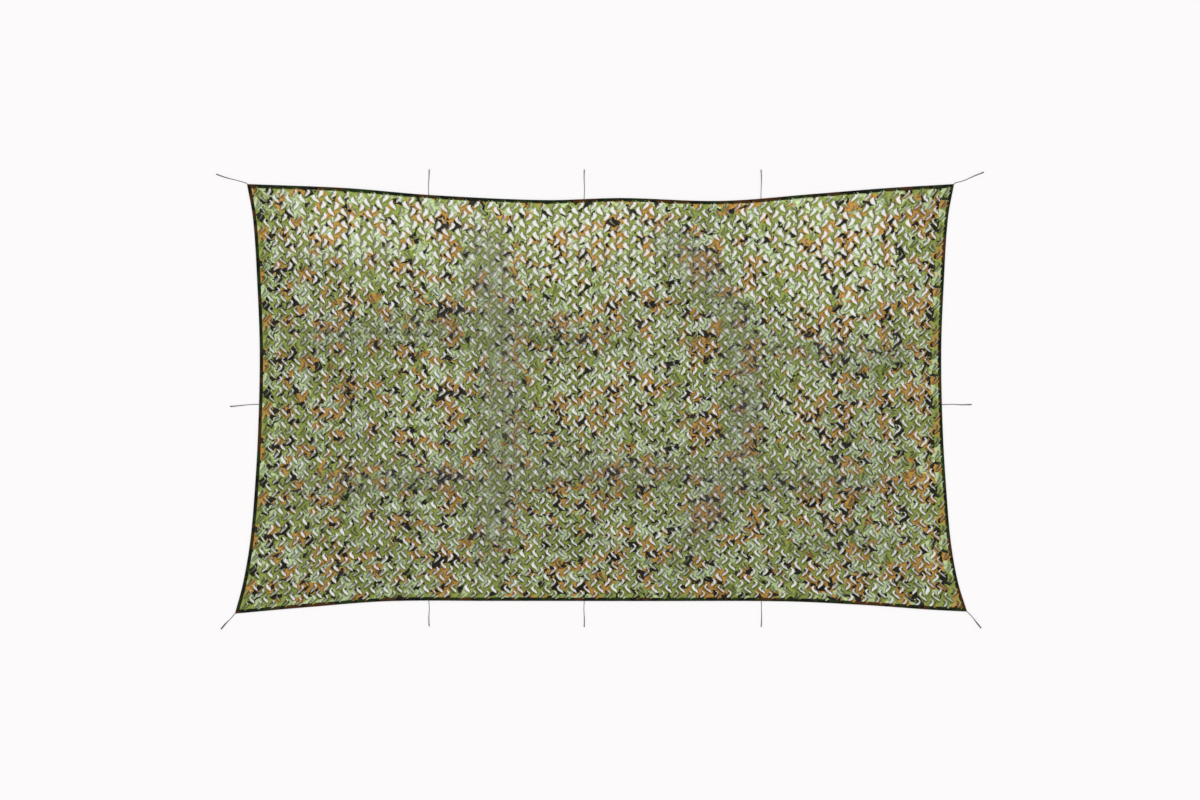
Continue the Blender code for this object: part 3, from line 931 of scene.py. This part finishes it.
def build_panel(name, batches, finish):
    """Joins cells into one mesh: points at one place on the cut cloth become one, but a leaf keeps its own."""
    flat, place, height, on_leaf, marks = (np.concatenate([b[k] for b in batches]) for k in range(1, 6))
    code = np.round((flat - CLOTH_INSET) / PITCH * 2 * SIDE_SEGMENTS * JOIN_STEPS).astype(np.int64)
    _, first, same = np.unique(np.column_stack([code, on_leaf]), axis=0, return_index=True, return_inverse=True)
    same = same.reshape(-1)
    faces, start = [], 0
    for batch in batches:
        for face in batch[-1]:
            corners = tuple(dict.fromkeys(int(same[start + k]) for k in face))
            if len(corners) > 2:
                faces.append(corners)
        start += len(batch[1])
    flat, place, height, marks = flat[first], place[first], height[first], marks[first]
    fade = smooth(inset_of(*flat.T) / EDGE_FADE)
    place = place + fade[:, None] * np.column_stack([waves(DRIFT_ALONG, *flat.T), waves(DRIFT_UP, *flat.T)])
    laid = cloth_middle(*place.T)
    laid[:, 2] += height + fade * np.maximum(waves(RIPPLE, *flat.T) + RIPPLE_RISE, 0)
    over = np.maximum(laid[:, 2] - HEIGHT_SOFT, 0)
    laid[:, 2] += HEIGHT_SPARE * np.tanh(over / HEIGHT_SPARE) - over
    carried = {
        "cut_place": np.column_stack([flat, np.zeros(len(flat))]),
        "marks": marks,
        "raised": smooth(roll_height(net_point(*place.T)) / ROLL_HIGH),
    }
    panel = new_piece(name, laid, faces, finish, carried)
    spread = panel.data.uv_layers.new(name="OFBake", do_init=False)
    corner = np.empty(len(panel.data.loops), np.int32)
    panel.data.loops.foreach_get("vertex_index", corner)
    low, size = flat.min(0), np.ptp(flat, axis=0)
    spread.uv.foreach_set("vector", ((flat - low) / size)[corner].astype(np.float32).ravel())
    return panel, size


# ---------- the folded edge tape

TAPE_STEP = 0.012
# The folded tape's section, round its outside and back through its slot. Columns: distance in, height.
TAPE_SECTION = (
    (0.0250, 0.0004), (0.0200, 0.0000), (0.0110, 0.0001), (0.0025, 0.0000), (0.0007, 0.0010),
    (0.0000, 0.0033), (0.0007, 0.0056), (0.0025, 0.0066), (0.0110, 0.0068), (0.0185, 0.0066),
    (0.0205, 0.0060), (0.0225, 0.0065), (0.0250, 0.0062), (0.0250, 0.0050), (0.0020, 0.0050),
    (0.0015, 0.0033), (0.0020, 0.0016), (0.0250, 0.0016),
)
TAPE_PUCKER = 0.0004
TAPE_WANDER = 0.0008
TAPE_SWAYS = (9, 23)  # waves in radians to the metre
TAPE_PUCKERS = (180, 47)
TAPE_EVEN = 0.1  # the tape is even at its ends, and fully uneven this far from them
TAPE_LIP = 0.0215  # only the tape's inner edge, further in than this, wanders
TAPE_TOP = 0.7  # share of the binding's height over which the tape is puckered
TAPE_SHIFTS = {"top": 0.0, "bottom": 3.1, "left": 6.2, "right": 9.3}  # of the print along each tape


def edge_length(edge):
    return NET_LENGTH if edge in ("top", "bottom") else NET_WIDTH


def along_edge(edge, distance, inset):
    """Plan points at a distance along an edge of the cut net and an inset from it."""
    places = {
        "top": (distance, NET_WIDTH - inset),
        "bottom": (distance, inset),
        "left": (inset, distance),
        "right": (NET_LENGTH - inset, distance),
    }
    return net_point(*places[edge])


def build_binding(edge, finish):
    """Tape folded over one edge of the cloth and mitred at both ends, puckered along its stitching."""
    length = edge_length(edge)
    section = np.array(TAPE_SECTION)
    inset, height = section.T
    phases = np.random.default_rng(len(edge)).uniform(0, 6.28, 4)
    mitre_gap = CLEARANCE * math.sqrt(0.5)
    stations = np.linspace(0, length, round(length / TAPE_STEP) + 1)
    low, high = inset + mitre_gap, length - inset - mitre_gap
    distance = np.clip(stations[:, None], low, high)
    keep = np.r_[True, (stations[1:-1] > low.max()) & (stations[1:-1] < high.min()), True]
    distance = distance[keep]
    middle = smooth(distance / TAPE_EVEN) * smooth((length - distance) / TAPE_EVEN)
    waved = [np.sin(distance * wave + phase) for wave, phase in zip(TAPE_SWAYS + TAPE_PUCKERS, phases)]
    sway, pucker = waved[0] + 0.7 * waved[1], waved[2] * waved[3]
    plan = along_edge(edge, distance, inset + TAPE_WANDER * sway * middle * (inset > TAPE_LIP))
    top = height > BINDING_THICKNESS * TAPE_TOP
    z = height + TAPE_PUCKER * pucker * middle * top * smooth(inset / 0.01)
    points = np.concatenate([plan, z[..., None]], -1).reshape(-1, 3)
    faces = skin(len(distance), len(section))
    if edge in ("top", "right"):
        faces = [face[::-1] for face in faces]
    steps = np.hypot(*np.diff(section, axis=0, append=section[:1]).T)
    round_it = np.concatenate([[0], np.cumsum(steps)[:-1]])
    along = distance + TAPE_SHIFTS[edge]
    cut = np.stack([along, np.broadcast_to(round_it, along.shape), 0 * along], -1).reshape(-1, 3)
    piece = new_piece(f"edge_tape_{edge}", points, faces, finish, {"cut_place": cut})
    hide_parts(f"binding_{edge}")


# ---------- stitching

STITCH_INSET = 0.0207
STITCH_PITCH = 0.006
STITCH_LENGTH = 0.0048
STITCH_RADIUS = 0.00045
STITCH_TOP = 0.0063
STITCH_START = 0.03  # from the ends of the edge
STITCH_AHEAD = 0.01  # how far ahead a stitch's direction is taken
STITCH_SIDES = 4
# Columns: share of the half length, height next to the radius, thickness next to the radius.
STITCH_RINGS = ((-1.0, -0.9, 0.5), (-0.55, 0.35, 1.0), (0.55, 0.35, 1.0), (1.0, -0.9, 0.5))


def thread_dashes(middles, directions):
    """Short rounded lengths of thread, each with its ends dipping into the cloth: (points, faces)."""
    sideways = np.column_stack([-directions[:, 1], directions[:, 0], np.zeros(len(directions))])
    points = []
    for share, rise, thick in STITCH_RINGS:
        for k in range(STITCH_SIDES):
            turn = 2 * math.pi * (k + 0.5) / STITCH_SIDES
            offset = directions * share * STITCH_LENGTH / 2 + sideways * math.cos(turn) * thick * STITCH_RADIUS
            points.append(middles + offset + np.array([0, 0, (rise + math.sin(turn) * thick) * STITCH_RADIUS]))
    points = np.stack(points, 1).reshape(-1, 3)
    dash = skin(len(STITCH_RINGS), STITCH_SIDES, ends=False)
    size = len(STITCH_RINGS) * STITCH_SIDES
    return points, [tuple(n * size + k for k in face) for n in range(len(middles)) for face in dash]


def stitch_rows():
    """The middles and directions of the stitches that hold the tape, all round the net."""
    middles, directions = [], []
    for edge in EDGES:
        at = np.arange(STITCH_START, edge_length(edge) - STITCH_START, STITCH_PITCH)
        inset = np.full(len(at), STITCH_INSET)
        place = along_edge(edge, at, inset)
        ahead = along_edge(edge, at + STITCH_AHEAD, inset) - place
        middles.append(np.column_stack([place, np.full(len(at), STITCH_TOP)]))
        directions.append(np.column_stack([ahead / np.hypot(*ahead.T)[:, None], np.zeros(len(at))]))
    return np.concatenate(middles), np.concatenate(directions)


# ---------- the ties

# Columns: edge, share along it, and x and y of three places on its way, from its root.
TIES = {
    "tie_corner_top_left": ("top", 0.0, (-0.070, 0.026, -0.146, 0.045, -0.217, 0.070)),
    "tie_corner_top_right": ("top", 1.0, (0.072, 0.026, 0.142, 0.057, 0.210, 0.084)),
    "tie_corner_bottom_left": ("bottom", 0.0, (-0.030, -0.036, -0.066, -0.071, -0.098, -0.109)),
    "tie_corner_bottom_right": ("bottom", 1.0, (0.035, -0.036, 0.067, -0.077, 0.098, -0.116)),
    "tie_top_1": ("top", 0.257, (-0.002, 0.060, 0.002, 0.122, 0.004, 0.180)),
    "tie_top_2": ("top", 0.477, (0.002, 0.070, -0.001, 0.142, 0.000, 0.208)),
    "tie_top_3": ("top", 0.727, (0.001, 0.068, 0.003, 0.138, 0.000, 0.204)),
    "tie_bottom_1": ("bottom", 0.265, (0.002, -0.060, -0.001, -0.122, 0.001, -0.182)),
    "tie_bottom_2": ("bottom", 0.477, (-0.002, -0.060, 0.001, -0.124, 0.000, -0.184)),
    "tie_bottom_3": ("bottom", 0.719, (0.001, -0.062, 0.002, -0.122, -0.001, -0.182)),
    "tie_left": ("left", 0.513, (-0.068, -0.002, -0.138, -0.009, -0.204, -0.015)),
    "tie_right": ("right", 0.516, (0.070, 0.002, 0.142, -0.001, 0.210, 0.001)),
}
WORN_TIES = ("tie_corner_bottom_left", "tie_corner_bottom_right")
# Darkness, and share by which the plait has come loose near the tip: most ties, the worn ones.
TIE_DARK = (0.1, 0.55)
TIE_LOOSE = (0.45, 1.1)
DARKENS = 0.7  # how much darker a tie is at its tip
DARKENS_OVER = (0.5, 0.4)  # shares of the tie's length: where it starts, and over how much
LOOSENS_OVER = (0.3, 0.6)
TIP_LEAST = 0.06  # the square of the share of its radius that a cord keeps at its very tip
TIE_ROOT_GAP = 0.0005
TIE_STRAIGHT = 0.010
TIE_FALL = 0.035
TIE_SAMPLES = 200
TIE_RING_STEP = 0.0020
TIE_SIDES = 12
NORMAL_STEP = 0.01
KNOT_BACK = 0.0140  # the knot's middle, back from the tip
KNOT_HALF = 0.0045
KNOT_LIFT = 0.0020
KNOT_REACH = 1.6  # half lengths from the knot's middle within which the cord belongs to it
GROUND_GAP = 0.00005
WRAP_RADIUS = 0.00275
WRAP_THREAD = 0.00125
WRAP_TURNS = 2.6
WRAP_SAMPLES = 20  # to the turn
WRAP_SIDES = 8
WRAP_SPREAD = 0.8  # share of the knot's length
COIL_SIDE = (0.3, 0.2, 1.0)  # any direction but the wrap's own
WRAP_RINGS = 8  # of the cord's, back from its tip, that the wrap lies along
WRAP_TUCK = 0.45  # share by which the wrap's two ends tuck in


def curve_through(points, share):
    """The point at this share of the way along a smooth curve through evenly timed points."""
    last = len(points) - 1
    place = min(max(share, 0.0), 1.0) * last
    i = min(int(place), last - 1)
    t = place - i
    before = points[i - 1] if i > 0 else 2 * points[0] - points[1]
    after = points[i + 2] if i + 2 <= last else 2 * points[last] - points[last - 1]
    start, end = points[i], points[i + 1]
    squared = 2 * before - 5 * start + 4 * end - after
    cubed = 3 * (start - end) + after - before
    return start + 0.5 * (t * (end - before) + t**2 * squared + t**3 * cubed)


def root_of(edge, share):
    """Where a tie leaves the outline, and the direction away from the net there."""
    root = edge_point(edge, np.array(share))
    if share in (0.0, 1.0):
        outward = np.sign(root)
    else:
        ends = edge_point(edge, np.array([share - NORMAL_STEP, share + NORMAL_STEP]))
        along = ends[1] - ends[0]
        outward = np.array([-along[1], along[0]])
        outward *= -np.sign(outward @ np.array(EDGES[edge][2]))
    return root, outward / np.hypot(*outward)


def in_knot(at):
    """1 in the knot and 0 away from it, for distances along a tie that end at its tip."""
    return smooth(KNOT_REACH - np.abs(at[-1] - KNOT_BACK - at) / KNOT_HALF)


def tie_path(edge, share, route):
    """The tie's centreline from its root to its tip, and the distance along it of each point."""
    root, outward = root_of(edge, share)
    plan = [root + outward * TIE_ROOT_GAP, root + outward * (TIE_ROOT_GAP + TIE_STRAIGHT)]
    plan += list(root + np.reshape(route, (-1, 2)))
    fine = np.array([curve_through(plan, i / TIE_SAMPLES) for i in range(TIE_SAMPLES + 1)])
    gone = np.concatenate([[0], np.cumsum(np.hypot(*np.diff(fine, axis=0).T))])
    total = gone[-1]
    at = np.linspace(0, total, round(total / TIE_RING_STEP) + 1)
    flat = np.column_stack([np.interp(at, gone, fine[:, 0]), np.interp(at, gone, fine[:, 1])])
    lying = CORD_DIAMETER / 2 + GROUND_GAP + KNOT_LIFT * in_knot(at)
    held = 1 - smooth(at / TIE_FALL)
    return np.column_stack([flat, lying + (BINDING_THICKNESS / 2 - lying) * held]), at


def tube(path, radii, sides):
    """A closed tube about a line that never turns upright: (points, faces)."""
    ahead = np.gradient(path, axis=0)
    ahead /= np.linalg.norm(ahead, axis=1)[:, None]
    sideways = np.cross(ahead, (0, 0, 1))
    sideways /= np.linalg.norm(sideways, axis=1)[:, None]
    upward = np.cross(sideways, ahead)
    turns = 2 * np.pi * np.arange(sides) / sides
    ring = sideways[:, None] * np.cos(turns)[:, None] + upward[:, None] * np.sin(turns)[:, None]
    points = (path[:, None] + ring * np.asarray(radii)[:, None, None]).reshape(-1, 3)
    return points, skin(len(path), sides)


def cord_marks(at, sides, dark):
    """What a tube's points carry: turns round it, distance along it, and darkness."""
    round_it = np.tile(even_shares(sides), len(at))
    return np.column_stack([round_it, np.repeat(at, sides), np.repeat(dark, sides)])


def length_share(at, over):
    """0 to 1 over a part of a tie's length."""
    start, part = over
    return smooth((at - start * at[-1]) / (part * at[-1]))


def build_tie(name, row, finish):
    """A cord from the net's edge to its knotted free end, darker and looser towards the knot."""
    path, at = tie_path(*row)
    total = at[-1]
    worn = name in WORN_TIES
    rounding = np.sqrt(np.clip((total - at) / (CORD_DIAMETER / 2), TIP_LEAST, 1))
    loose = TIE_LOOSE[worn] * length_share(at, LOOSENS_OVER) * (1 - in_knot(at))
    radii = CORD_DIAMETER / 2 * rounding * (1 + loose)
    path[:, 2] += CORD_DIAMETER / 2 * loose
    points, faces = tube(path, radii, TIE_SIDES)
    dark = np.clip(TIE_DARK[worn] + DARKENS * length_share(at, DARKENS_OVER), 0, 1)
    marks = {"cord_place": cord_marks(at, TIE_SIDES, dark)}
    cord = new_piece(f"{name}_cord", points, faces, finish, marks)
    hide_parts(name)

    turns = np.linspace(0, WRAP_TURNS, round(WRAP_TURNS * WRAP_SAMPLES) + 1)
    place = total - KNOT_BACK + KNOT_HALF * (2 * turns / WRAP_TURNS - 1) * WRAP_SPREAD
    core = np.column_stack([np.interp(place, at, path[:, axis]) for axis in range(3)])
    ahead = path[-1] - path[-WRAP_RINGS]
    ahead /= np.linalg.norm(ahead)
    sideways = np.cross(ahead, (0, 0, 1))
    upward = np.cross(sideways, ahead)
    angle = 2 * np.pi * turns[:, None]
    tuck = WRAP_RADIUS * (1 - WRAP_TUCK * (np.abs(2 * turns / WRAP_TURNS - 1) ** 6))[:, None]
    core[:, 2] = CORD_DIAMETER + GROUND_GAP
    coil = core + tuck * (sideways * np.cos(angle) + upward * np.sin(angle))
    points, faces = coil_tube(coil, WRAP_THREAD, WRAP_SIDES)
    wrapped = turns * 2 * np.pi * WRAP_RADIUS
    marks = {"cord_place": cord_marks(wrapped, WRAP_SIDES, np.full(len(turns), dark.max()))}
    knot = new_piece(f"{name}_knot", points, faces, finish, marks)


def coil_tube(path, radius, sides):
    """A tube about a line that turns in all directions: its rings turn no more than the line makes them."""
    ahead = np.gradient(path, axis=0)
    ahead /= np.linalg.norm(ahead, axis=1)[:, None]
    side = np.cross(ahead[0], COIL_SIDE)
    points = []
    for place, direction in zip(path, ahead):
        side = side - direction * (side @ direction)
        side /= np.linalg.norm(side)
        other = np.cross(direction, side)
        for k in range(sides):
            turn = 2 * math.pi * k / sides
            points.append(place + radius * (math.cos(turn) * side + math.sin(turn) * other))
    return np.array(points), skin(len(path), sides)


# ---------- putting it together


def build_floor():
    half = FLOOR_SIZE / 2
    corners = [(-half, -half, 0), (half, -half, 0), (half, half, 0), (-half, half, 0)]
    mesh = bpy.data.meshes.new("floor")
    mesh.from_pydata(corners, [], [(0, 1, 2, 3)])
    mesh.materials.append(floor_material())
    new_object("floor", mesh)


def main():
    build_camera()
    build_light()
    cord_finish = tie_cord_material()
    for name, row in TIES.items():
        build_tie(name, row, cord_finish)
    print_group, weave_group = camouflage_print_group(), woven_cloth_group()
    panels = build_net_cloth(net_cloth_material(print_group, weave_group))
    for panel, size in panels:
        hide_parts("net_sheet")
    tape = binding_tape_material(print_group, weave_group)
    for edge in EDGES:
        build_binding(edge, tape)
    middles, directions = stitch_rows()
    points, faces = thread_dashes(middles, directions)
    new_piece("edge_stitching", points, faces, thread_material(), {"cut_place": points})
    build_floor()


main()
